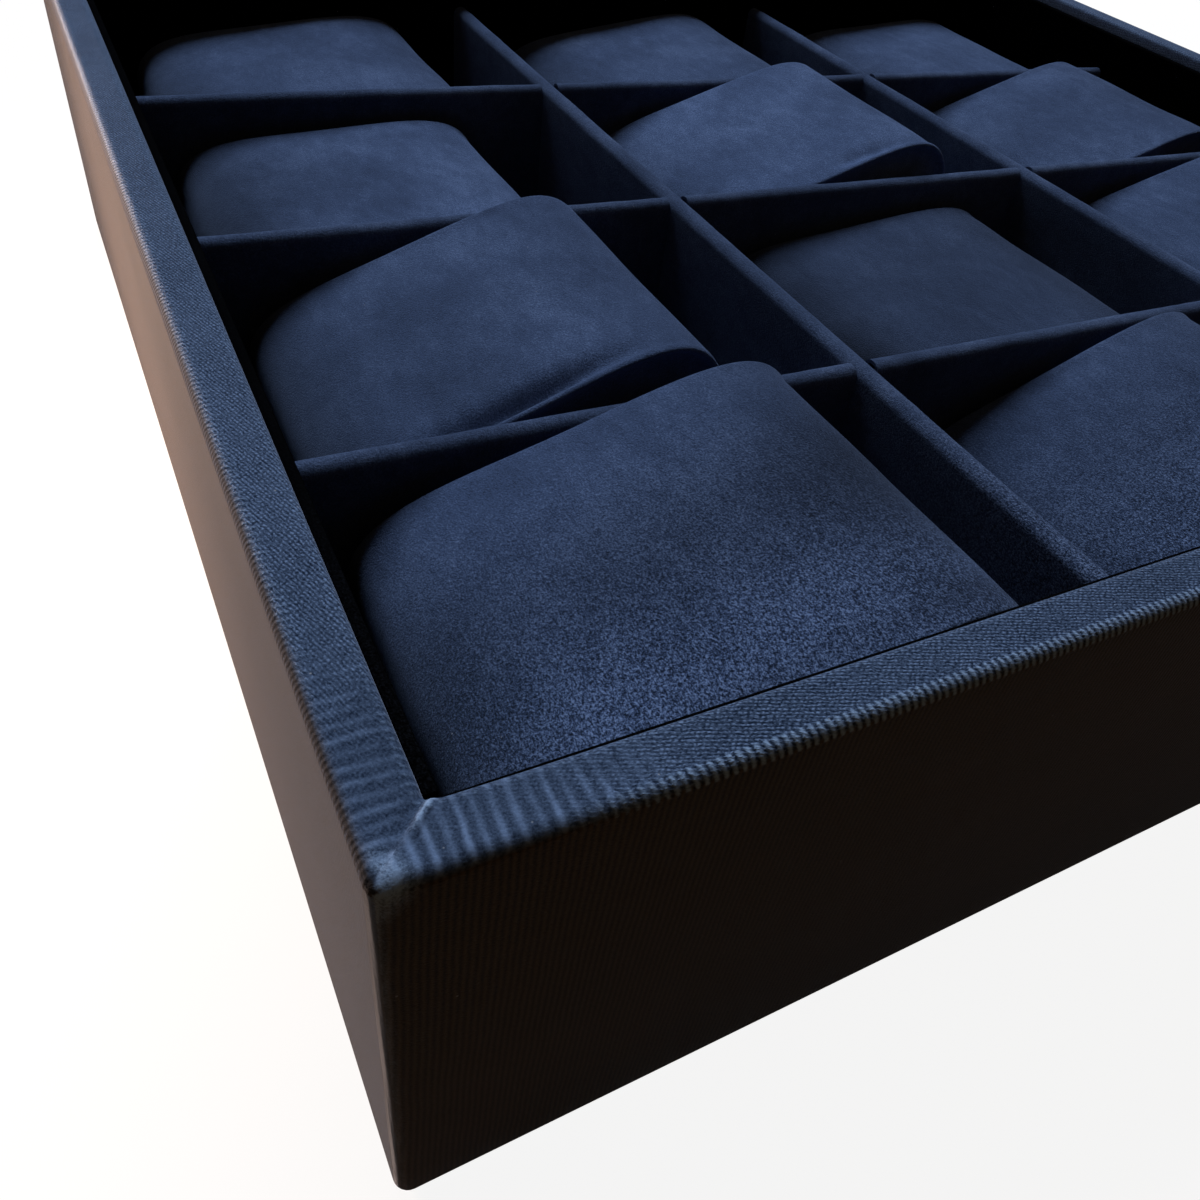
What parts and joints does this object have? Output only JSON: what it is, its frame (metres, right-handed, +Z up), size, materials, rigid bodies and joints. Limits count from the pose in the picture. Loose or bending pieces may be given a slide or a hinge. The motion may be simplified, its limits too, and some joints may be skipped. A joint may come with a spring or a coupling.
{
  "type": "watch tray",
  "caption": "Open rectangular watch tray wrapped in dark twill cloth, with a suede-covered divider grid and a loose, crowned suede watch pillow in each compartment.",
  "frame": {"origin": "middle of the underside, on the surface that the tray stands on", "axes": "+X along the tray's front from left to right, +Y from the front to the back, +Z up"},
  "size_m": [0.2452, 0.2182, 0.0565],
  "materials": {
    "twill_covering": "dark navy twill-embossed covering cloth with a fine diagonal rib and a low sheen",
    "pillow_suede": "navy faux suede with a short brushed nap",
    "divider_suede": "navy faux suede folded over the divider cards",
    "lining_suede": "very dark navy faux suede lining",
    "grey_card": "uncoated grey board",
    "fibre_board": "raw fibre board, hidden under the covering",
    "black_felt": "thin black felt"
  },
  "bodies": {
    "tray": {"base_board": "fibre_board", "column_divider_1_core": "grey_card", "column_divider_1_cover": "divider_suede", "column_divider_2_core": "grey_card", "column_divider_2_cover": "divider_suede", "floor_lining": "lining_suede", "outer_wrap": "twill_covering", "row_divider_1_core": "grey_card", "row_divider_1_cover": "divider_suede", "row_divider_2_core": "grey_card", "row_divider_2_cover": "divider_suede", "row_divider_3_core": "grey_card", "row_divider_3_cover": "divider_suede", "underside_felt": "black_felt", "wall_board_back": "fibre_board", "wall_board_front": "fibre_board", "wall_board_left": "fibre_board", "wall_board_right": "fibre_board", "wall_lining_back": "lining_suede", "wall_lining_front": "lining_suede", "wall_lining_left": "lining_suede", "wall_lining_right": "lining_suede"},
    "pillow_row_1_column_1_body": {"pillow_row_1_column_1": "pillow_suede"},
    "pillow_row_1_column_2_body": {"pillow_row_1_column_2": "pillow_suede"},
    "pillow_row_1_column_3_body": {"pillow_row_1_column_3": "pillow_suede"},
    "pillow_row_2_column_1_body": {"pillow_row_2_column_1": "pillow_suede"},
    "pillow_row_2_column_2_body": {"pillow_row_2_column_2": "pillow_suede"},
    "pillow_row_2_column_3_body": {"pillow_row_2_column_3": "pillow_suede"},
    "pillow_row_3_column_1_body": {"pillow_row_3_column_1": "pillow_suede"},
    "pillow_row_3_column_2_body": {"pillow_row_3_column_2": "pillow_suede"},
    "pillow_row_3_column_3_body": {"pillow_row_3_column_3": "pillow_suede"},
    "pillow_row_4_column_1_body": {"pillow_row_4_column_1": "pillow_suede"},
    "pillow_row_4_column_2_body": {"pillow_row_4_column_2": "pillow_suede"},
    "pillow_row_4_column_3_body": {"pillow_row_4_column_3": "pillow_suede"}
  },
  "joints": [
    {"name": "lift_row_1_column_1", "type": "slide", "parent": "tray", "child": "pillow_row_1_column_1_body", "axis": [0, 0, 1], "range_m": [0, 0.06]},
    {"name": "lift_row_1_column_2", "type": "slide", "parent": "tray", "child": "pillow_row_1_column_2_body", "axis": [0, 0, 1], "range_m": [0, 0.06]},
    {"name": "lift_row_1_column_3", "type": "slide", "parent": "tray", "child": "pillow_row_1_column_3_body", "axis": [0, 0, 1], "range_m": [0, 0.06]},
    {"name": "lift_row_2_column_1", "type": "slide", "parent": "tray", "child": "pillow_row_2_column_1_body", "axis": [0, 0, 1], "range_m": [0, 0.06]},
    {"name": "lift_row_2_column_2", "type": "slide", "parent": "tray", "child": "pillow_row_2_column_2_body", "axis": [0, 0, 1], "range_m": [0, 0.06]},
    {"name": "lift_row_2_column_3", "type": "slide", "parent": "tray", "child": "pillow_row_2_column_3_body", "axis": [0, 0, 1], "range_m": [0, 0.06]},
    {"name": "lift_row_3_column_1", "type": "slide", "parent": "tray", "child": "pillow_row_3_column_1_body", "axis": [0, 0, 1], "range_m": [0, 0.06]},
    {"name": "lift_row_3_column_2", "type": "slide", "parent": "tray", "child": "pillow_row_3_column_2_body", "axis": [0, 0, 1], "range_m": [0, 0.06]},
    {"name": "lift_row_3_column_3", "type": "slide", "parent": "tray", "child": "pillow_row_3_column_3_body", "axis": [0, 0, 1], "range_m": [0, 0.06]},
    {"name": "lift_row_4_column_1", "type": "slide", "parent": "tray", "child": "pillow_row_4_column_1_body", "axis": [0, 0, 1], "range_m": [0, 0.06]},
    {"name": "lift_row_4_column_2", "type": "slide", "parent": "tray", "child": "pillow_row_4_column_2_body", "axis": [0, 0, 1], "range_m": [0, 0.06]},
    {"name": "lift_row_4_column_3", "type": "slide", "parent": "tray", "child": "pillow_row_4_column_3_body", "axis": [0, 0, 1], "range_m": [0, 0.06]}
  ]
}
